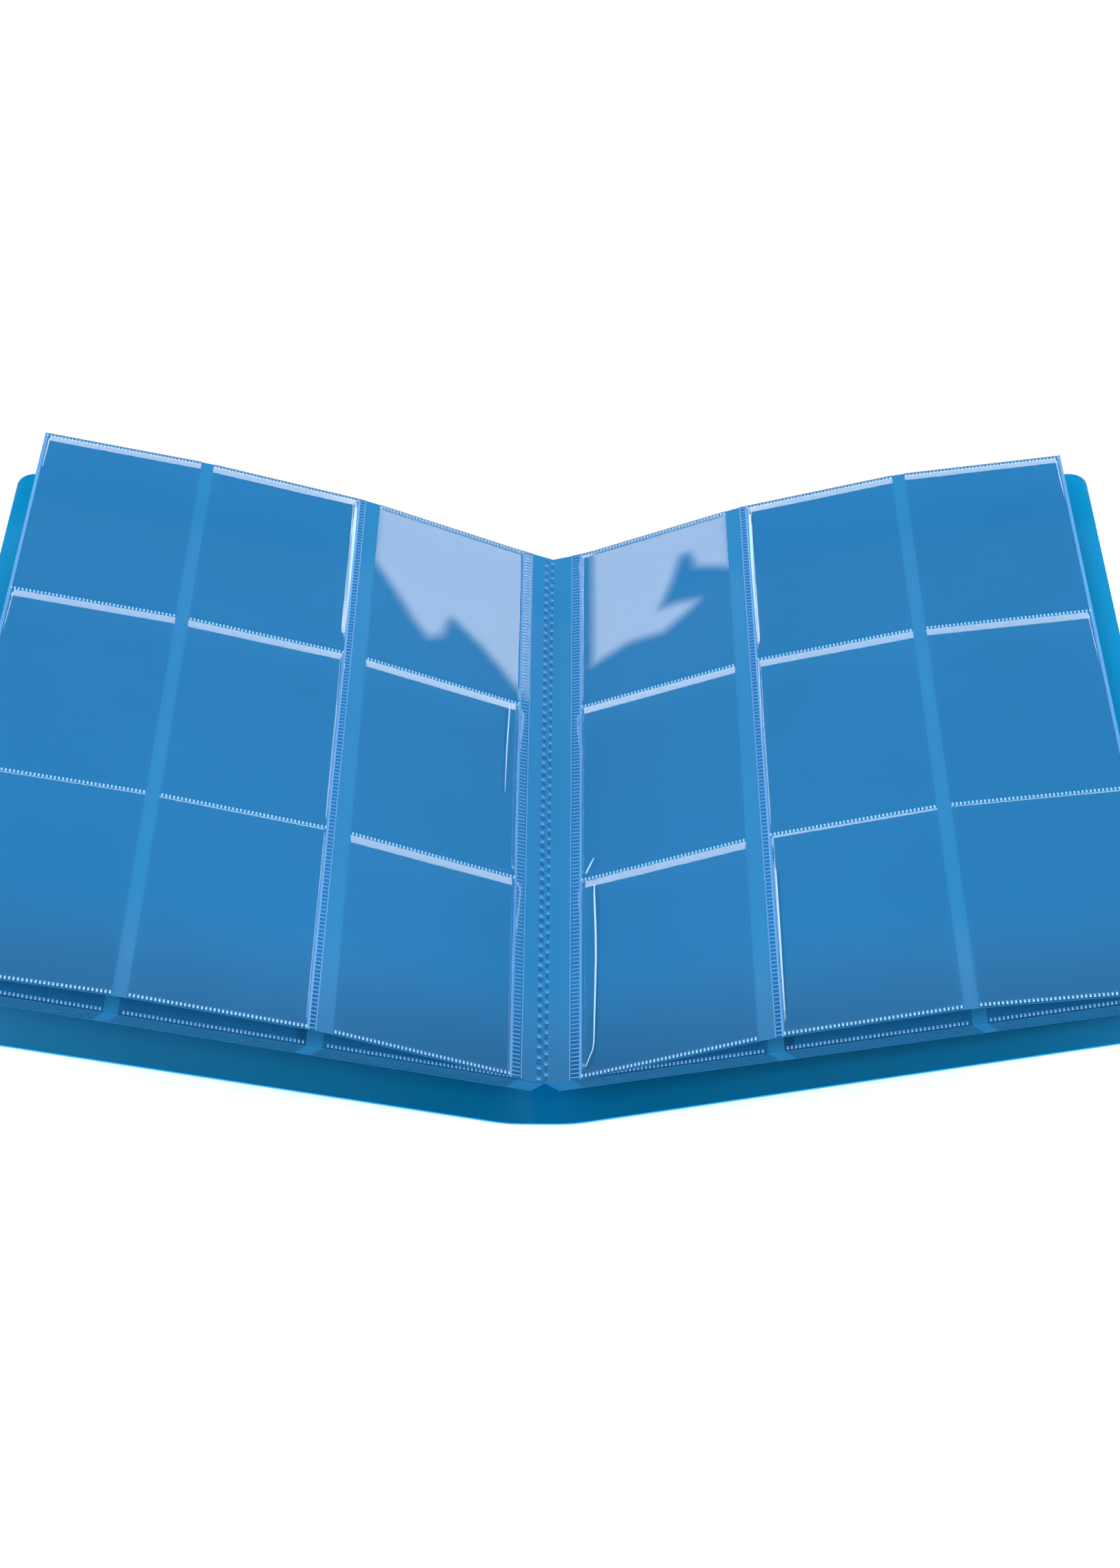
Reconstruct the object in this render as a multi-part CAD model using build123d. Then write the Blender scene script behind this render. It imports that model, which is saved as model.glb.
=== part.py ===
from build123d import *
import math
import os

os.makedirs("parts", exist_ok=True)

# Cover
COVER_H = 305.0  # head to tail
COVER_T = 1.0  # sheet thickness
COVER_REACH = 234.75  # hinge to fore edge, measured level
COVER_ANGLE = 16.5  # slope of each open cover
COVER_CORNER = 10.0  # outer corner radius
HINGE_X = 13.25  # cover hinge from the centre line
HINGE_GAP = 0.05  # between the hinge bead and the spine

# Leaves
LEAVES = 10  # per side
ROW_PITCH = 97.0
ROWS = 3
CORE_T = 0.20  # opaque sheet
FILM_T = 0.06  # clear film
POCKET_GAP = 0.10  # room inside an empty pocket
LEAF_W = 242.0  # gutter line to fore edge
LOWER_TRIM = 2.0  # the leaves under the top one are narrower by this and by their stagger
COLUMNS = (  # start, end, mouth side and upright weld width of each film strip
    ("inner", 10.0, 88.2, 1, 5.0),
    ("middle", 94.8, 166.9, 1, 4.0),
    ("outer", 172.5, LEAF_W, -1, 2.0),
)
ROW_WELD = 2.0  # width of the welds between rows
FIRST_X = 0.7  # hinge of the first leaf from the centre line
SHEET_T = CORE_T + 2 * (FILM_T + POCKET_GAP)
LEAF_STEP_X = SHEET_T + 0.06
LEAF_STEP_Z = SHEET_T + 0.08
SEAM_Z = 20.2  # height of the first leaf's hinge
TOP_ANGLE = {-1: 19.0, 1: 16.4}  # slope of the top leaf, left and right
LOWER_ANGLE = {-1: 16.9, 1: 15.6}  # slope of the leaves under it

# Binding
BIND_T = 2.0  # strip along the spine
BIND_RECESS = 12.0  # binding stops short of head and tail
TAB_T = LEAF_STEP_X - 0.1
TAB_GAP = 0.15  # below each leaf's hinge
FIRST_TAB_DROP = LEAF_STEP_X + LEAF_STEP_Z  # the first leaves' hinges sink as they close

LEAF_H = ROW_PITCH * ROWS
BIND_H = LEAF_H - 2 * BIND_RECESS


def save(shape, name):
    shape.label = name
    export_step(shape, f"parts/{name}.step")


def seam(k):
    """Distance from the centre line and height of leaf k's hinge."""
    return FIRST_X + LEAF_STEP_X * k, SEAM_Z - LEAF_STEP_Z * k


def spine_panel():
    half = HINGE_X - COVER_T / 2 - HINGE_GAP
    return Pos(0, 0, COVER_T / 2) * Box(2 * half, COVER_H, COVER_T)


def binding_strip():
    half = seam(LEAVES - 1)[0] + TAB_T / 2
    return Pos(0, 0, COVER_T + BIND_T / 2) * Box(2 * half, BIND_H, BIND_T)


def leaf_tabs():
    tabs = []
    base = COVER_T + BIND_T
    for k in range(LEAVES):
        x, z = seam(k)
        tall = z - SHEET_T / 2 - TAB_GAP - base - (FIRST_TAB_DROP if k == 0 else 0)
        for side in (-1, 1):
            tabs.append(Pos(side * x, 0, base + tall / 2) * Box(TAB_T, BIND_H, tall))
    return Compound(children=tabs)


def cover(side):
    """Flat cover sheet with a hinge bead."""
    x0, z0 = HINGE_X, COVER_T / 2
    rise = COVER_REACH * math.tan(math.radians(COVER_ANGLE))
    x1, z1 = x0 + COVER_REACH, z0 + rise
    with BuildPart() as part:
        with BuildSketch(Plane.XZ.offset(-COVER_H / 2)):
            with BuildLine() as path:
                Line((x0, z0), (x1, z1))
            trace(path.line, COVER_T)
            with Locations((x0, z0)):
                Circle(COVER_T / 2)
        extrude(amount=COVER_H)
        with BuildSketch(Plane.XY):
            RectangleRounded(2 * x1, COVER_H, COVER_CORNER)
        extrude(amount=z1 + COVER_T, both=True, mode=Mode.INTERSECT)
    body = part.part.solids()[0]
    return Rot(0, 0, 180) * body if side < 0 else body


def film_strip(start, end, mouth, weld, face):
    """Film welded round three pockets, open along its mouth, with a bead on its hinge edge."""
    width = end - start
    tall = POCKET_GAP + FILM_T
    mid = (start + end) / 2
    strip = Pos(mid, 0, tall / 2) * Box(width, LEAF_H, tall)
    for row in range(ROWS):
        y = (row - (ROWS - 1) / 2) * ROW_PITCH
        room = Box(width, ROW_PITCH - ROW_WELD, POCKET_GAP)
        strip -= Pos(mid + mouth * weld, y, POCKET_GAP / 2) * room
    hinge = start if mouth > 0 else end
    strip += Pos(hinge, 0, tall / 2) * Rot(90, 0, 0) * Cylinder(tall / 2, LEAF_H)
    strip = Pos(0, 0, CORE_T / 2) * strip
    if face < 0:
        strip = mirror(strip, about=Plane.XY)
    return strip.solids()[0]


def leaf_width(k):
    """Fore edges of the lower leaves stay behind that of the top leaf."""
    return LEAF_W - (LOWER_TRIM + LEAF_STEP_X * k if k else 0)


def core_sheet(k):
    """Opaque sheet with a round bead on its hinge line."""
    width = leaf_width(k)
    plate = Pos(width / 2, 0, 0) * Box(width, LEAF_H, CORE_T)
    bead = Rot(90, 0, 0) * Cylinder(SHEET_T / 2, LEAF_H)
    return (plate + bead).solids()[0]


def place(shape, side, k, angle):
    """Turn a leaf piece to its slope and set it on its hinge."""
    x, z = seam(k)
    turn = Rot(0, -angle, 0) if side > 0 else Rot(0, angle, 0) * Rot(0, 0, 180)
    return Pos(side * x, 0, z) * turn * shape


def strips(face, k):
    ends = [min(column[2], leaf_width(k)) for column in COLUMNS]
    return [film_strip(c[1], end, *c[3:], face) for c, end in zip(COLUMNS, ends)]


def top_leaf(side, name):
    angle = TOP_ANGLE[side]
    save(place(core_sheet(0), side, 0, angle), f"{name}_sheet")
    backs = [place(strip, side, 0, angle) for strip in strips(-1, 0)]
    save(Compound(children=backs), f"{name}_back_pockets")
    for column, strip in zip(COLUMNS, strips(1, 0)):
        save(place(strip, side, 0, angle), f"{name}_{column[0]}_film")


def lower_leaf(side, k, name):
    angle = LOWER_ANGLE[side]
    save(place(core_sheet(k), side, k, angle), f"{name}_sheet")
    films = [place(strip, side, k, angle) for strip in strips(1, k) + strips(-1, k)]
    save(Compound(children=films), f"{name}_pockets")


save(spine_panel(), "spine_panel")
save(binding_strip(), "binding_strip")
save(leaf_tabs(), "leaf_tabs")
save(cover(-1), "front_cover")
save(cover(1), "back_cover")
for side, word in ((-1, "left"), (1, "right")):
    top_leaf(side, f"{word}_leaf_01")
    for k in range(1, LEAVES):
        lower_leaf(side, k, f"{word}_leaf_{k + 1:02d}")
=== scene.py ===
import math

import bpy
import numpy as np
from mathutils import Matrix, Vector


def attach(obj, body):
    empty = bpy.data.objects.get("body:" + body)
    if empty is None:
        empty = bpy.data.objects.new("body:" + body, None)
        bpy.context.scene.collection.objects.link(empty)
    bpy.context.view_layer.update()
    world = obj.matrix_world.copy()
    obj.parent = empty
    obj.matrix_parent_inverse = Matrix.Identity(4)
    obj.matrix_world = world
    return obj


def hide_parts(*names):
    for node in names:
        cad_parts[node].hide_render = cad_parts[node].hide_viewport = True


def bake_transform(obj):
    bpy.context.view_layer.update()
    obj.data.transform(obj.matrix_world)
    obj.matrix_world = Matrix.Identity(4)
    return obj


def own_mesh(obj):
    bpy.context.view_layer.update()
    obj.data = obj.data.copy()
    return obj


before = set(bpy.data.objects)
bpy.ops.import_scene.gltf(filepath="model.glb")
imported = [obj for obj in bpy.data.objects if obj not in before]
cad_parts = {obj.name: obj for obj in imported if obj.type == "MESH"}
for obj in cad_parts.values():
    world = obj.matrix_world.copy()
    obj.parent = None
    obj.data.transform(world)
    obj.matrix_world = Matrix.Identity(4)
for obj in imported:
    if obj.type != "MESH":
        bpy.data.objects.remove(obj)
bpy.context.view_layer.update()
MM = 0.001

# ---------------------------------------------------------------- sizes, mm
PAGE_H = 291.0
ROW = 97.0
COLUMNS = {  # start, end, mouth side, upright weld width
    "inner": (9.8, 88.2, 1, 5.4),
    "middle": (94.8, 166.9, 1, 4.0),
    "outer": (172.5, 243.2, -1, 1.8),
}
PROFILE = {
    -1: [(0.0, 20.3), (-16.3, 26.7), (-85.8, 57.8), (-158.7, 81.3), (-229.5, 99.2)],
    1: [(0.0, 19.9), (16.3, 24.5), (86.3, 54.6), (159.6, 76.6), (231.7, 88.6)],
}
FIRST_X, SEAM_Z = 0.7, 20.2  # hinge of the first leaf
STEP_X, STEP_Z = 0.58, 0.6  # from one leaf's hinge to the next
LOWER = {-1: 16.9, 1: 15.6}
LEAF_2_END = 239.0
SHEET_HALF = 0.1
BACK_BULGE = 0.3  # share of the front film's bulge
FILM_REST = 0.13  # welded film over the middle of the sheet
WELD_HALF = 1.0  # half the width of the weld between rows
DOT_STEP = 1.6
DOT_HALF = (0.42, 0.75)
WELD_ROWS = (PAGE_H / 2 - 1.2, ROW / 2 - 0.1, -ROW / 2 - 0.1, -PAGE_H / 2 + 1.4)
SIDES = {-1: "left", 1: "right"}


# ---------------------------------------------------------------- materials
def material(name):
    m = bpy.data.materials.new(name)
    m.use_nodes = True
    nt = m.node_tree
    nt.nodes.clear()
    out = nt.nodes.new("ShaderNodeOutputMaterial")
    return m, nt, out


def node(nt, kind, **values):
    n = nt.nodes.new(kind)
    for key, value in values.items():
        if hasattr(n, key) and key not in n.inputs:
            setattr(n, key, value)
        else:
            n.inputs[key].default_value = value
    return n


def srgb(r, g, b):
    def f(c):
        c /= 255
        return c / 12.92 if c <= 0.04045 else ((c + 0.055) / 1.055) ** 2.4

    return (f(r), f(g), f(b), 1.0)


def mottled(nt, low, high, scale, space="Object"):
    """Two close colours mixed by soft noise."""
    co = node(nt, "ShaderNodeTexCoord")
    noise = node(nt, "ShaderNodeTexNoise", Scale=scale, Detail=3.0)
    nt.links.new(co.outputs[space], noise.inputs["Vector"])
    ramp = node(nt, "ShaderNodeValToRGB")
    ramp.color_ramp.elements[0].position = 0.3
    ramp.color_ramp.elements[0].color = low
    ramp.color_ramp.elements[1].position = 0.7
    ramp.color_ramp.elements[1].color = high
    nt.links.new(noise.outputs["Fac"], ramp.inputs["Fac"])
    return co, ramp


def plastic_sheet(name, low, high, rough, grain, specular=0.2):
    """Plain plastic, slightly mottled, with fine grain."""
    m, nt, out = material(name)
    co, ramp = mottled(nt, low, high, 14.0)
    p = node(nt, "ShaderNodeBsdfPrincipled", Roughness=rough)
    p.inputs["Specular IOR Level"].default_value = specular
    nt.links.new(ramp.outputs["Color"], p.inputs["Base Color"])
    fine = node(nt, "ShaderNodeTexNoise", Scale=2500.0, Detail=2.0)
    nt.links.new(co.outputs["Object"], fine.inputs["Vector"])
    bump = node(nt, "ShaderNodeBump", Strength=grain, Distance=0.0001)
    nt.links.new(fine.outputs["Fac"], bump.inputs["Height"])
    nt.links.new(bump.outputs["Normal"], p.inputs["Normal"])
    nt.links.new(p.outputs["BSDF"], out.inputs["Surface"])
    return m


LIT_TILT = (0, 0.17, 0)  # lean of the gloss inside the painted reflection's outline, standing in for loose film catching the light
LIT_EXTRA = 0.018  # and the extra gloss painted in there


def film_material(name, tint, rough=0.07, wave=0.0, painted_reflection=False, gloss_level=1.0):
    """Clear glossy film: tinted see-through with a Fresnel gloss; with painted_reflection, a painted
    reflection is added inside the outline stored on the mesh.
    """
    m, nt, out = material(name)
    clear = node(nt, "ShaderNodeBsdfTransparent", Color=tint)
    gloss = node(nt, "ShaderNodeBsdfGlossy", Roughness=rough)
    gloss.inputs["Color"].default_value = (gloss_level,) * 3 + (1,)
    facing = node(nt, "ShaderNodeLayerWeight", Blend=0.5)
    fres = node(nt, "ShaderNodeMath", operation="POWER")
    fres.inputs[1].default_value = 5.0
    nt.links.new(facing.outputs["Facing"], fres.inputs[0])
    level = node(nt, "ShaderNodeMapRange")
    level.inputs["To Min"].default_value = 0.04
    nt.links.new(fres.outputs["Value"], level.inputs["Value"])
    mix = node(nt, "ShaderNodeMixShader")
    co = node(nt, "ShaderNodeTexCoord")
    noise = node(nt, "ShaderNodeTexNoise", Scale=18.0, Detail=1.0)
    nt.links.new(co.outputs["Object"], noise.inputs["Vector"])
    bump = node(nt, "ShaderNodeBump", Strength=wave, Distance=0.001)
    nt.links.new(noise.outputs["Fac"], bump.inputs["Height"])
    nt.links.new(bump.outputs["Normal"], gloss.inputs["Normal"])
    shine, amount = gloss.outputs["BSDF"], level.outputs["Result"]
    # painted reflection: inside the stored outline the gloss leans toward the back lamps and gets
    # stronger
    if painted_reflection:
        painted_reflection_tip = node(nt, "ShaderNodeVectorMath", operation="ADD")
        painted_reflection_tip.inputs[1].default_value = LIT_TILT
        nt.links.new(bump.outputs["Normal"], painted_reflection_tip.inputs[0])
        unit = node(nt, "ShaderNodeVectorMath", operation="NORMALIZE")
        nt.links.new(painted_reflection_tip.outputs["Vector"], unit.inputs[0])
        bright = node(nt, "ShaderNodeBsdfGlossy", Roughness=0.07)
        nt.links.new(unit.outputs["Vector"], bright.inputs["Normal"])
        mark = node(nt, "ShaderNodeAttribute", attribute_name="painted_reflection_tip")
        both = node(nt, "ShaderNodeMixShader")
        nt.links.new(mark.outputs["Fac"], both.inputs[0])
        nt.links.new(shine, both.inputs[1])
        nt.links.new(bright.outputs["BSDF"], both.inputs[2])
        shine = both.outputs["Shader"]
        more = node(nt, "ShaderNodeMath", operation="MULTIPLY_ADD")
        more.inputs[1].default_value = LIT_EXTRA
        nt.links.new(mark.outputs["Fac"], more.inputs[0])
        nt.links.new(level.outputs["Result"], more.inputs[2])
        amount = more.outputs["Value"]
    nt.links.new(amount, mix.inputs[0])
    nt.links.new(clear.outputs["BSDF"], mix.inputs[1])
    nt.links.new(shine, mix.inputs[2])
    nt.links.new(mix.outputs["Shader"], out.inputs["Surface"])
    return m


COVER = plastic_sheet("cover_teal", srgb(0, 136, 194), srgb(3, 142, 200), 0.42, 0.25, 0.08)
SHEET = plastic_sheet("leaf_blue", srgb(29, 108, 158), srgb(32, 111, 162), 0.62, 0.15, 0.1)
# pale crease colour: partly the film's own whitening at a fold, partly a painted highlight
CREASE_HIGHLIGHT = plastic_sheet("film_crease_painted_highlight", srgb(150, 190, 232), srgb(160, 200, 238), 0.25, 0.0)
RIDGE = plastic_sheet("weld_ridge", srgb(72, 132, 190), srgb(80, 140, 198), 0.4, 0.1)
BINDING = plastic_sheet("binding_blue", srgb(50, 130, 190), srgb(55, 136, 196), 0.5, 0.1)
TINT = (0.86, 0.95, 0.98, 1)
FILM = film_material("pocket_film", TINT, 0.07, 0.15)
PAINTED_REFLECTION_FILM = film_material("pocket_film_painted_reflection", TINT, 0.12, 0.15, painted_reflection=True)
# a copy of the pocket film with its gloss dimmed to a tenth: painted shade for the leaves under the
# top one
LOWER_FILM = film_material("pocket_film_lower", (0.88, 0.95, 0.985, 1), 0.12, 0.1, gloss_level=0.1)
DOT = plastic_sheet("weld_dots", srgb(120, 176, 222), srgb(136, 188, 230), 0.3, 0.1)
# a darker copy of the weld dots: painted shade for the leaf under the top one
LOW_DOT_SHADED = plastic_sheet("weld_dots_low_shaded", srgb(96, 150, 204), srgb(110, 160, 210), 0.3, 0.1)
# seam knurl colours: the pits darker as painted shade in the hollows, the bumps lighter as painted
# light on their tops
SEAM_PIT_SHADE = plastic_sheet("seam_pits", srgb(20, 78, 134), srgb(24, 84, 140), 0.4, 0.1)
SEAM_BUMP_LIGHT = plastic_sheet("seam_bumps", srgb(46, 126, 180), srgb(50, 132, 186), 0.35, 0.1)
LIP = plastic_sheet("cut_edge", srgb(96, 118, 140), srgb(106, 128, 150), 0.4, 0.1)


# ---------------------------------------------------------------- geometry
def smooth_profile(side):
    """The leaf's section as a dense curve by distance from the gutter, kinks softened."""
    pts = np.array(PROFILE[side], float)
    seg = np.linalg.norm(np.diff(pts, axis=0), axis=1)
    at = np.concatenate([[0], np.cumsum(seg)])
    fine = np.arange(-12.0, at[-1] + 12.0, 0.25)
    x = np.interp(fine, at, pts[:, 0])
    z = np.interp(fine, at, pts[:, 1])
    for edge, d in ((fine < 0, pts[1] - pts[0]), (fine > at[-1], pts[-1] - pts[-2])):
        d = d / np.linalg.norm(d)
        base, s0 = (pts[0], 0.0) if fine[edge][0] < 0 else (pts[-1], at[-1])
        x[edge] = base[0] + (fine[edge] - s0) * d[0]
        z[edge] = base[1] + (fine[edge] - s0) * d[1]
    kernel = np.hanning(45)
    kernel /= kernel.sum()
    xs = np.convolve(x, kernel, "same")
    zs = np.convolve(z, kernel, "same")
    keep = (fine > -6.0) & (fine < at[-1] + 6.0)
    return fine[keep], xs[keep], zs[keep], at[-1]


CURVES = {side: smooth_profile(side) for side in (-1, 1)}


def on_leaf(side, u, h):
    """Points at distance u along the leaf and height h over it, mm."""
    s, x, z, _ = CURVES[side]
    u, h = np.broadcast_arrays(np.asarray(u, float), np.asarray(h, float))
    px, pz = np.interp(u, s, x), np.interp(u, s, z)
    dx = np.interp(u + 0.5, s, x) - np.interp(u - 0.5, s, x)
    dz = np.interp(u + 0.5, s, z) - np.interp(u - 0.5, s, z)
    n = np.hypot(dx, dz)
    nx, nz = -dz / n, dx / n
    if side < 0:
        nx, nz = -nx, -nz
    return px + nx * h, pz + nz * h


def mesh(name, verts, faces, mat, smooth=True):
    me = bpy.data.meshes.new(name)
    me.from_pydata([tuple(v) for v in verts], [], faces)
    me.update()
    o = bpy.data.objects.new(name, me)
    bpy.context.scene.collection.objects.link(o)
    me.materials.append(mat)
    if smooth:
        me.polygons.foreach_set("use_smooth", [True] * len(me.polygons))
    return o


def grid_faces(nu, nv, flip, base=0):
    faces = []
    for i in range(nu - 1):
        for j in range(nv - 1):
            a = base + i * nv + j
            f = (a, a + nv, a + nv + 1, a + 1)
            faces.append(f[::-1] if flip else f)
    return faces


def patch(side, us, ys, height):
    """Vertices (m) and faces of one grid over the leaf; height is an array in mm."""
    U, Y = np.meshgrid(us, ys, indexing="ij")
    X, Z = on_leaf(side, U, height)
    verts = np.stack([X, Y, Z], -1).reshape(-1, 3) * MM
    return verts, grid_faces(len(us), len(ys), side < 0)


def join(parts):
    verts, faces, base = [], [], 0
    for v, f in parts:
        verts.append(np.asarray(v))
        faces += [tuple(i + base for i in q) for q in f]
        base += len(v)
    return np.concatenate(verts), faces


def chord_squash(o):
    """Gives the piece its own copy of its mesh."""
    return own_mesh(o)


def dots(side, u, y, du, dy, h, top=0.55):
    """One small raised dot, a block with a narrower top; a negative h puts it on the back."""
    us = np.array([u - du, u + du, u + du, u - du])
    ys = np.array([y - dy, y - dy, y + dy, y + dy])
    x0, z0 = on_leaf(side, us, np.full(4, math.copysign(0.05, h)))
    cu, cy = u + (us - u) * top, y + (ys - y) * top
    x1, z1 = on_leaf(side, cu, np.full(4, h))
    v = np.concatenate([np.stack([x0, ys, z0], -1), np.stack([x1, cy, z1], -1)]) * MM
    f = [(4, 5, 6, 7), (0, 1, 5, 4), (1, 2, 6, 5), (2, 3, 7, 6), (3, 0, 4, 7)]
    return v, [q[::-1] for q in f] if side * h < 0 else f


# width of the lit bulge below each row's weld, and beside the upright weld, mm, head row first
HEAD_RAMP = {
    -1: {"inner": (2.6, 5.0, 4.8), "middle": (5.2, 5.0, 0.9), "outer": (4.6, 4.8, 0.8)},
    1: {"inner": (2.6, 5.0, 4.8), "middle": (5.0, 5.0, 1.6), "outer": (4.4, 4.8, 0.9)},
}
SIDE_RAMP = {
    -1: {"inner": (0.5, 1.6, 0.6), "middle": (2.4, 0.9, 0.5), "outer": (0.5, 0.5, 0.5)},
    1: {"inner": (0.5, 0.6, 1.6), "middle": (1.8, 0.7, 1.3), "outer": (0.5, 0.5, 0.5)},
}
ROW_SLOPE = (0.19, 0.235, 0.28)


# outline of the painted reflection on the head row's inner film: distance from the gutter, height,
# mm
LIT = {
    -1: [(9, 52), (17.7, 58.0), (24.0, 65.3), (33.5, 75.3), (43.4, 83.5), (49.3, 87.7), (51.5, 83.4),
         (53.8, 75.2), (60.3, 71.4), (67.4, 79.3), (76.6, 92.9), (89, 109.5), (89, 147), (9, 147)],
    1: [(20.5, 71.5), (37.6, 79.4), (55.5, 79.8), (68.2, 88.9), (72.7, 93.8), (63.3, 95.5),
        (53.9, 95.1), (59.7, 108.8), (64.9, 124.8), (69.4, 124.9), (72.5, 115.1), (89, 108.5),
        (89, 147), (20.5, 147)],
}


def lit(side, U, Y):
    """1 inside the lit outline, 0 outside, with a soft edge."""
    inside = np.zeros(U.shape, bool)
    near = np.full(U.shape, 1e9)
    pts = LIT[side]
    for (ax, ay), (bx, by) in zip(pts, pts[1:] + pts[:1]):
        over = ((ay > Y) != (by > Y)) & (U < (bx - ax) * (Y - ay) / (by - ay + 1e-9) + ax)
        inside ^= over
        t = ((U - ax) * (bx - ax) + (Y - ay) * (by - ay)) / ((bx - ax) ** 2 + (by - ay) ** 2)
        t = np.clip(t, 0, 1)
        near = np.minimum(near, np.hypot(U - ax - t * (bx - ax), Y - ay - t * (by - ay)))
    soft = np.clip(0.5 + np.where(inside, near, -near) / 8.0, 0, 1)
    return soft * soft * (3 - 2 * soft)


def pocket_height(side, column, row, U, Y):
    """Height of the film over the sheet in one pocket, mm."""
    start, end, mouth, weld = COLUMNS[column]
    y_top = (1 - row) * ROW + ROW / 2
    s = y_top - WELD_HALF - Y  # below the upper weld
    t = Y - (y_top - ROW + WELD_HALF)  # above the lower weld
    width = HEAD_RAMP[side][column][row]
    peak = width * ROW_SLOPE[row]
    base = 0.14
    ramp = np.clip(s / width, 0, 1)
    fall = np.clip((s - width) / 26.0, 0, 1)
    fall = fall * fall * (3 - 2 * fall)
    rest = 0.25
    h = base + peak * ramp + (rest - peak) * fall * (ramp >= 1)
    h = base + (h - base) * np.clip(t / 2.0, 0, 1)
    edge = (U - start - weld) if mouth > 0 else (end - weld - U)
    side_w = SIDE_RAMP[side][column][row]
    k = np.clip(edge / max(side_w, 1.0), 0, 1)
    swell = 0.27 * side_w * np.clip(edge / side_w, 0, 1)
    swell *= 1 - np.clip((edge - side_w) / 22.0, 0, 1)
    swell *= np.clip(t / 9.0, 0, 1) * np.clip(s / 7.0, 0, 1)
    out = base + (h - base) * k + np.where(edge > 0, swell, 0)
    return np.where((s <= 0) | (t <= 0) | (edge <= 0), FILM_REST, out)


def film_patch(side, column, face=1):
    """One column's film over three pockets, lying on the welds, for the front or the back."""
    start, end, mouth, weld = COLUMNS[column]
    lo, hi, way = (start, end, 1) if mouth > 0 else (end, start, -1)
    edge = [0, weld, weld + 0.15, weld + 0.5, weld + 0.9, weld + 1.3, weld + 1.6]
    edge += [weld + 1.9, weld + 2.4, weld + 2.7, weld + 3.4, weld + 5]
    us = sorted(lo + way * d for d in edge)
    inner = np.linspace(lo + way * (weld + 8), hi, 22)
    if column == "inner":
        inner = np.arange(lo + weld + 6.5, hi, 1.5)
    us = sorted(set(np.round(list(us) + list(inner) + [hi], 3)))
    ys = []
    for row in range(3):
        top = (1 - row) * ROW + ROW / 2
        w = WELD_HALF + HEAD_RAMP[side][column][row]
        d = [0.0, 0.98, 1.0, 1.15, w / 2 + 0.5, w - 0.12, w + 0.02, w + 0.25, w + 1.2]
        d += [7.5, 9, 13, 18, 24, 32, 42, 52, 62, 72, 80, 86, 90, 92.5, 94, 95, 96, 96.05]
        ys += [top - k for k in d]
    ys.append(-PAGE_H / 2)
    if column == "inner":
        ys += list(np.arange(50.3, 139.0, 1.5))
    ys = np.array(sorted(set(ys)))
    us = np.array(us)
    U, Y = np.meshgrid(us, ys, indexing="ij")
    H = np.full(U.shape, FILM_REST)
    for row in range(3):
        top = (1 - row) * ROW + ROW / 2
        inside = (Y <= top) & (Y >= top - ROW)
        H = np.where(inside, pocket_height(side, column, row, U, Y), H)
    if face < 0:
        H = -FILM_REST - (H - FILM_REST) * BACK_BULGE
    v, f = patch(side, us, ys, H)
    return v, [q[::-1] for q in f] if face < 0 else f, U, Y


def film(side, column):
    v, f, U, Y = film_patch(side, column)
    mat = PAINTED_REFLECTION_FILM if column == "inner" else FILM
    o = mesh(f"{SIDES[side]}_top_{column}_film", v, f, mat)
    # the painted reflection's outline goes onto the mesh as a weight
    if column == "inner":
        painted_reflection_tip = o.data.attributes.new("painted_reflection_tip", "FLOAT", "POINT")
        painted_reflection_tip.data.foreach_set("value", lit(side, U, Y).ravel())
    return o


def row_dots(side, column, h):
    """Dotted welds above, between and below the pockets."""
    start, end, mouth, weld = COLUMNS[column]
    parts = []
    for y in WELD_ROWS:
        for u in np.arange(start + (weld if mouth > 0 else 0.8), end - 0.6, DOT_STEP):
            parts.append(dots(side, u, y, *DOT_HALF, h))
    return parts


def ridge(side, u, half, tall):
    """A long low ridge down the leaf."""
    ys = np.linspace(-PAGE_H / 2, PAGE_H / 2, 30)
    h = np.array([[0.14], [tall], [0.14]]) * np.ones((3, 30))
    return patch(side, np.array([u - half, u, u + half]), ys, h)


# creases, pale ridges that are partly real folds and partly a painted highlight: side, column, row,
# half width at each end, points by distance and height, mm
CREASES = (
    (1, "inner", 2, 0.55, 0.3, [(21.3, -53.4), (21.5, -90), (20.4, -132.5), (16.9, -140.5)]),
    (1, "inner", 1, 0.5, 0.3, [(16.9, -46.0), (20.7, -38.7)]),
    (1, "middle", 2, 0.5, 0.3, [(99.8, -66.9), (99.6, -100), (99.3, -134.7)]),
    (1, "middle", 1, 0.3, 0.2, [(98.9, 47.2), (98.3, 20), (98.0, -18.5)]),
    (-1, "inner", 1, 0.4, 0.2, [(20.1, 44.7), (20.5, 20), (20.8, -5.1)]),
    (-1, "middle", 0, 1.1, 0.2, [(99.4, 139), (99.0, 100), (98.7, 60)]),
    (1, "middle", 0, 1.0, 0.2, [(99.6, 139), (99.2, 100), (98.9, 58)]),
)


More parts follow.
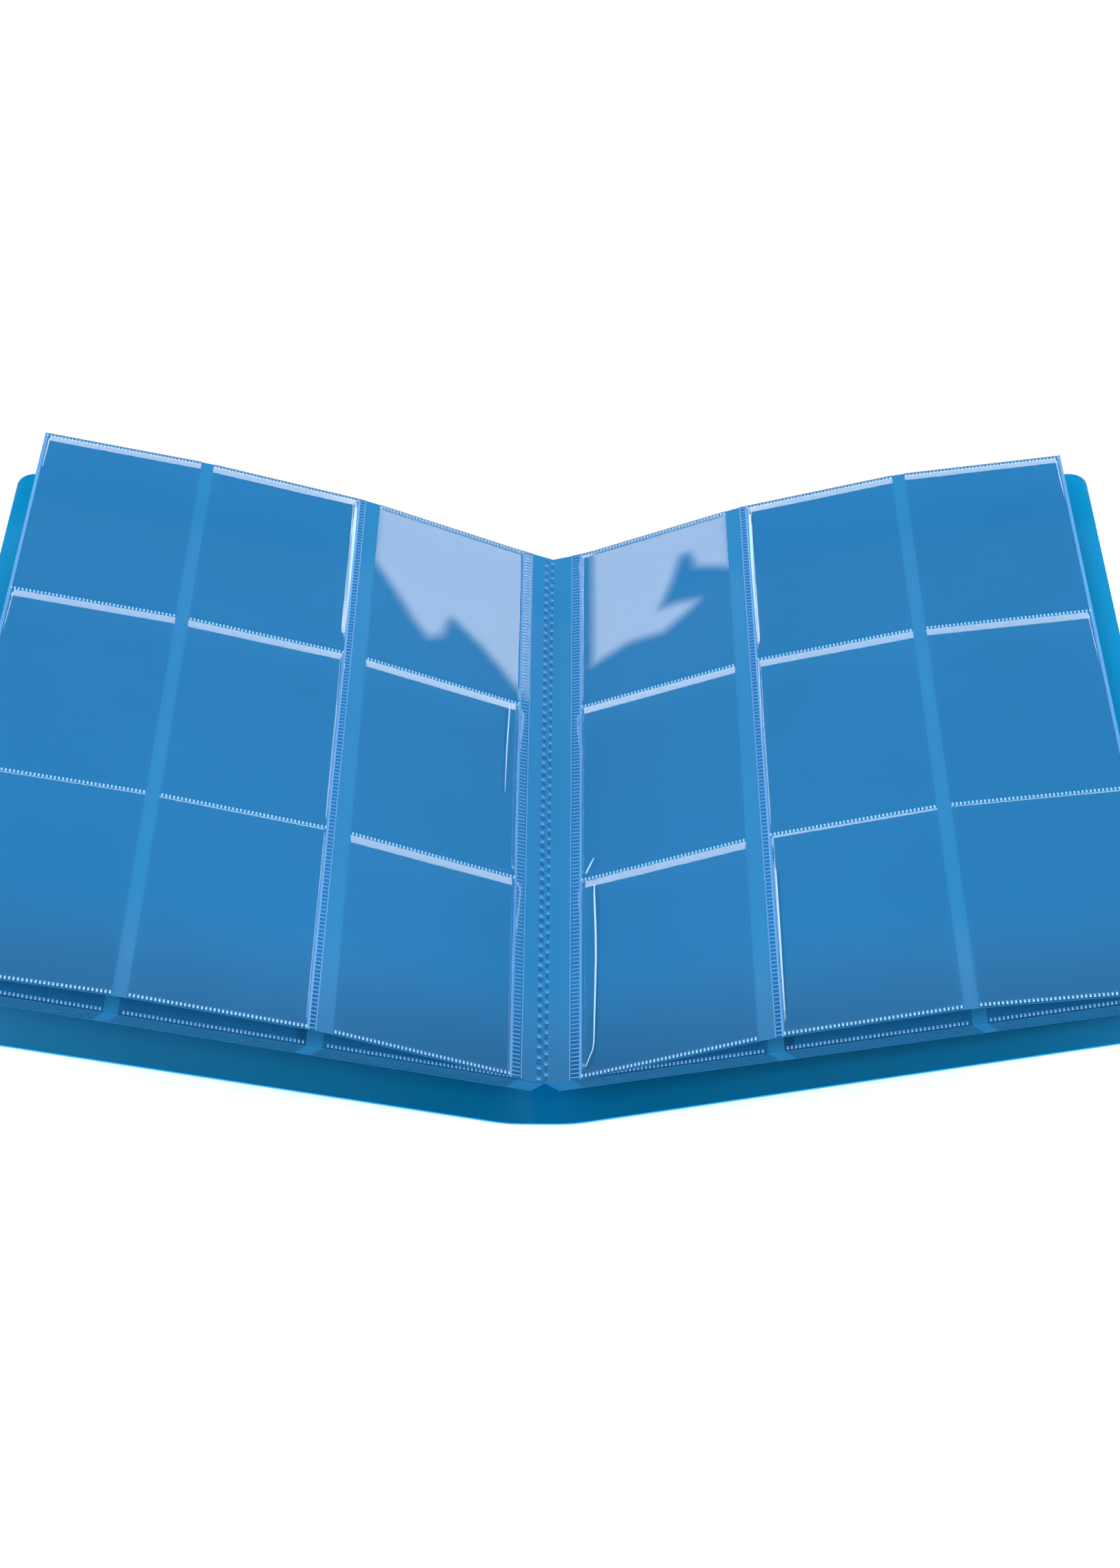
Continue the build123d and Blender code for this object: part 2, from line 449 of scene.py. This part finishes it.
def creases(side, column):
    """Low folds standing on one column's film, pale with a painted highlight."""
    parts = []
    for at, name, row, first, last, pts in CREASES:
        if (at, name) != (side, column):
            continue
        pts = np.array(pts)
        run = np.concatenate([[0], np.cumsum(np.linalg.norm(np.diff(pts, axis=0), axis=1))])
        t = np.linspace(0, run[-1], 24)
        u, y = np.interp(t, run, pts[:, 0]), np.interp(t, run, pts[:, 1])
        du, dy = np.gradient(u), np.gradient(y)
        n = np.hypot(du, dy)
        half = np.interp(t, [0, run[-1]], [first, last]) * np.sin(np.linspace(0.35, 2.8, 24)) ** 0.5
        rows = []
        for k, lift in ((-1, 0.03), (0, 0.28), (1, 0.03)):
            uu, yy = u - k * half * dy / n, y + k * half * du / n
            h = pocket_height(side, column, row, uu, yy) + lift
            x, z = on_leaf(side, uu, h)
            rows.append(np.stack([x, yy, z], -1))
        parts.append((np.concatenate(rows) * MM, grid_faces(3, 24, side > 0)))
    if not parts:
        return []
    v, f = join(parts)
    return [mesh(f"{SIDES[side]}_top_{column}_creases", v, f, CREASE_HIGHLIGHT)]


def weld_dots(side, column):
    """Dotted weld bars above, between and below the pockets, and the upright weld."""
    start, end, mouth, weld = COLUMNS[column]
    v, f = join(row_dots(side, column, 0.34))
    across = mesh(f"{SIDES[side]}_top_{column}_welds", v, f, DOT, smooth=False)
    parts = []
    us = np.linspace(start, end, 16)
    lip = patch(side, us, np.array([PAGE_H / 2 - 0.7, PAGE_H / 2]), np.full((16, 2), 0.42))
    edge = mesh(f"{SIDES[side]}_top_{column}_head_edge", *lip, LIP, smooth=False)
    if mouth > 0:
        for y in np.arange(-PAGE_H / 2 + 1.0, PAGE_H / 2 - 0.6, 1.9):
            parts.append(dots(side, start + 0.5 * weld, y, 0.36 * weld, 0.24, 0.3))
        parts.append(ridge(side, start + weld - 0.7, 0.55, 0.42))
        parts.append(ridge(side, start + 0.3, 0.25, 0.3))
    else:
        parts.append(ridge(side, end - 0.75, 0.7, 0.3))
    v, f = join(parts)
    upright = mesh(f"{SIDES[side]}_top_{column}_upright_welds", v, f, RIDGE, smooth=False)
    return [across, edge, upright]


def sheet_body(side, name, us, ys, half, mat):
    """A thin solid sheet that follows the leaf's curve."""
    top, f1 = patch(side, us, ys, np.full((len(us), len(ys)), half))
    bot, f2 = patch(side, us, ys, np.full((len(us), len(ys)), -half))
    n, nu, nv = len(top), len(us), len(ys)
    faces = list(f1) + [tuple(i + n for i in q[::-1]) for q in f2]
    ring = [i * nv for i in range(nu)] + [(nu - 1) * nv + j for j in range(1, nv)]
    ring += [i * nv + nv - 1 for i in range(nu - 2, -1, -1)]
    ring += [j for j in range(nv - 2, 0, -1)]
    for a, b in zip(ring, ring[1:] + ring[:1]):
        q = (a, a + n, b + n, b)
        faces.append(q if side < 0 else q[::-1])
    return mesh(name, np.concatenate([top, bot]), faces, mat)


def top_leaf(side):
    word = SIDES[side]
    body = f"{word}_leaf_01"
    length = CURVES[side][3]
    start_u = -1.65 if side < 0 else 0.8
    us = np.concatenate([[start_u], np.arange(2.0, length, 3.0), [length]])
    ys = np.linspace(-PAGE_H / 2, PAGE_H / 2, 7)
    sheet = sheet_body(side, f"{word}_top_sheet", us, ys, SHEET_HALF, SHEET)
    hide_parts(f"{body}_sheet")
    pieces = [(sheet, body)]
    v, f = join([film_patch(side, column, -1)[:2] for column in COLUMNS])
    back = mesh(f"{word}_top_back_films", v, f, FILM)
    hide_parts(f"{body}_back_pockets")
    pieces.append((back, body))
    v, f = join([part for column in COLUMNS for part in row_dots(side, column, -0.3)])
    pieces.append((mesh(f"{word}_top_back_welds", v, f, DOT, smooth=False), body))
    for column in COLUMNS:
        o = film(side, column)
        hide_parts(f"{body}_{column}_film")
        pieces.append((o, f"{body}_{column}_film"))
        for o in weld_dots(side, column) + creases(side, column):
            pieces.append((o, f"{body}_{column}_film"))
    for o, b in pieces:
        chord_squash(o)
        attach(o, b)


for side in (-1, 1):
    top_leaf(side)


KNURL_PITCH = 4.9


def seam_knurl(name, mat, shift, du, dy, h, top):
    """Two staggered columns of marks down the lapped margin; their colour carries painted shade for
    the pits or painted light for the bumps.
    """
    parts = []
    for column, u in enumerate((-0.5, 2.7)):
        first = -PAGE_H / 2 + 1.6 + (column * KNURL_PITCH / 2 + shift) % KNURL_PITCH
        for y in np.arange(first, PAGE_H / 2 - 1.0, KNURL_PITCH):
            parts.append(dots(-1, u, y, du, dy, h, top))
    v, f = join(parts)
    o = mesh(name, v, f, mat, smooth=False)
    chord_squash(o)
    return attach(o, "left_leaf_01")


# dark low marks are painted shade for the pits; pale marks are painted light on the bumps
seam_knurl("gutter_seam_pits", SEAM_PIT_SHADE, 0.0, 1.1, 1.0, 0.16, 0.8)
seam_knurl("gutter_seam_bumps", SEAM_BUMP_LIGHT, KNURL_PITCH / 2, 1.0, 0.85, 0.55, 0.45)


def straight(side, k, u, y, h):
    """A point on CAD leaf k, mm."""
    a = math.radians(LOWER[side])
    x = FIRST_X + STEP_X * (k - 1) + u * math.cos(a) - h * math.sin(a)
    z = SEAM_Z - STEP_Z * (k - 1) + u * math.sin(a) + h * math.cos(a)
    return (side * x, y, z)


def lower_welds(side):
    """Dotted welds at the tail of the leaf under the top one, darkened as painted shade."""
    parts = []
    du, dy = DOT_HALF
    ring = [(-du, -dy), (du, -dy), (du, dy), (-du, dy)]
    f = [(4, 5, 6, 7), (0, 1, 5, 4), (1, 2, 6, 5), (2, 3, 7, 6), (3, 0, 4, 7)]
    f = [q[::-1] for q in f] if side < 0 else f
    y = -PAGE_H / 2 + 1.6
    for start, end, _, _ in COLUMNS.values():
        for u in np.arange(start + 1.2, min(end, LEAF_2_END) - 0.6, DOT_STEP):
            v = [straight(side, 2, u + a, y + b, 0.26) for a, b in ring]
            v += [straight(side, 2, u + a * 0.6, y + b * 0.6, 0.42) for a, b in ring]
            parts.append((np.array(v) * MM, f))
    v, f = join(parts)
    o = mesh(f"{SIDES[side]}_leaf_02_tail_welds", v, f, LOW_DOT_SHADED, smooth=False)
    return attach(o, f"{SIDES[side]}_leaf_02")


for side in (-1, 1):
    lower_welds(side)


# ---------------------------------------------------------------- cover
def cover_half(side):
    """Half of the one-piece cover: flat spine, easy bend and panel with round corners."""
    flat, full, angle = (7.0, 23.0, 16.55) if side < 0 else (1.0, 20.0, 17.1)
    length, radius, half = 257.8, 10.0, 152.5
    s = np.concatenate([np.arange(0, 40, 1.0), np.arange(40, length - radius, 8.0)])
    corner = length - radius + radius * np.sin(np.linspace(0, math.pi / 2, 12))
    s = np.concatenate([s, corner])
    t = np.clip((s - flat) / (full - flat), 0, 1)
    theta = np.radians(angle) * t * t * (3 - 2 * t)
    ds = np.diff(s)
    mid = (theta[1:] + theta[:-1]) / 2
    x = np.concatenate([[0], np.cumsum(ds * np.cos(mid))])
    z = np.concatenate([[0], np.cumsum(ds * np.sin(mid))]) + 0.5
    into = np.clip(s - (length - radius), 0, radius)
    hy = half - (radius - np.sqrt(np.maximum(radius**2 - into**2, 0)))
    v = np.linspace(-1, 1, 9)
    layers = []
    for h in (0.5, -0.5):
        px = side * (x - np.sin(theta) * h)
        pz = z + np.cos(theta) * h
        layers.append(np.stack([np.repeat(px, 9), np.outer(hy, v).ravel(), np.repeat(pz, 9)], -1))
    n, nu, nv = len(layers[0]), len(s), 9
    faces = grid_faces(nu, nv, side < 0)
    faces += [tuple(i + n for i in q[::-1]) for q in grid_faces(nu, nv, side < 0)]
    rim = [i * nv for i in range(nu)] + [(nu - 1) * nv + j for j in range(1, nv)]
    rim += [i * nv + nv - 1 for i in range(nu - 2, -1, -1)]
    for a, b in zip(rim, rim[1:]):
        q = (a, a + n, b + n, b)
        faces.append(q if side < 0 else q[::-1])
    word = "front" if side < 0 else "back"
    o = mesh(f"{word}_cover_sheet", np.concatenate(layers) * MM, faces, COVER)
    for p in o.data.polygons:
        if abs(p.index) >= 2 * (nu - 1) * (nv - 1):
            p.use_smooth = False
    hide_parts(f"{word}_cover", *(["spine_panel"] if side < 0 else []))
    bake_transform(o)


for side in (-1, 1):
    cover_half(side)

# ---------------------------------------------------------------- CAD pieces
for name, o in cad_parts.items():
    if o.hide_render:
        continue
    if name in ("front_cover", "back_cover", "spine_panel"):
        mat = COVER
    elif name.endswith("pockets"):
        mat = LOWER_FILM
    elif name in ("binding_strip", "leaf_tabs"):
        mat = BINDING
    else:
        mat = SHEET
    o.data.materials.clear()
    o.data.materials.append(mat)

# ---------------------------------------------------------------- stage
floor = mesh(
    "floor",
    [(-6, -6, -0.0002), (6, -6, -0.0002), (6, 6, -0.0002), (-6, 6, -0.0002)],
    [(0, 1, 2, 3)],
    plastic_sheet("floor_white", srgb(253, 253, 253), srgb(254, 254, 254), 0.9, 0.0),
    smooth=False,
)


def area(name, pos, target, size, power, color=(1, 1, 1)):
    light = bpy.data.lights.new(name, "AREA")
    light.shape = "RECTANGLE"
    light.size, light.size_y = size
    light.energy = power
    light.color = color
    o = bpy.data.objects.new(name, light)
    bpy.context.scene.collection.objects.link(o)
    o.location = pos
    o.rotation_mode = "QUATERNION"
    o.rotation_quaternion = (Vector(target) - Vector(pos)).to_track_quat("-Z", "Y")
    return o


area("back_strip", (0.0, 2.6, 0.62), (0, 0, 0.05), (5.0, 1.15), 115)
area("back_left", (-2.6, 1.7, 0.62), (0, 0, 0.05), (1.6, 1.0), 30)
area("back_right", (2.6, 1.7, 0.62), (0, 0, 0.05), (1.6, 1.0), 30)
area("key", (-0.9, -1.4, 2.1), (0, 0, 0), (2.2, 2.2), 24)
area("fill", (1.4, -1.6, 1.9), (0, 0, 0), (2.0, 2.0), 20)
area("front", (0.0, -2.2, 1.2), (0, 0, 0), (2.6, 1.2), 40)

world = bpy.data.worlds.new("studio")
bpy.context.scene.world = world
world.use_nodes = True
wt = world.node_tree
sky = wt.nodes["Background"]
sky.inputs["Color"].default_value = (1, 1, 1, 1)
way = node(wt, "ShaderNodeTexCoord")
part = node(wt, "ShaderNodeSeparateXYZ")
wt.links.new(way.outputs["Generated"], part.inputs["Vector"])
dim = node(wt, "ShaderNodeMapRange", interpolation_type="SMOOTHSTEP")
wt.links.new(part.outputs["Y"], dim.inputs["Value"])
for key, value in (("From Min", 0.15), ("From Max", 0.45), ("To Min", 1.0), ("To Max", 0.12)):
    dim.inputs[key].default_value = value
wt.links.new(dim.outputs["Result"], sky.inputs["Strength"])

# ---------------------------------------------------------------- camera
cam_data = bpy.data.cameras.new("camera")
cam_data.sensor_width = 36
cam_data.lens = 3010.37 * 36 / 2274
cam_data.clip_start, cam_data.clip_end = 0.05, 30
cam = bpy.data.objects.new("camera", cam_data)
bpy.context.scene.collection.objects.link(cam)
right = Vector((0.99997, 0.00712, 0.00082))
up = Vector((-0.00606, 0.77857, 0.62752))
back = Vector((0.00383, -0.62751, 0.77860))
rot = Matrix((right, up, back)).transposed()
cam.matrix_world = Matrix.Translation(Vector((8.343, -567.496, 732.338)) * MM) @ rot.to_4x4()
bpy.context.scene.camera = cam

bpy.context.scene.view_settings.view_transform = "Standard"
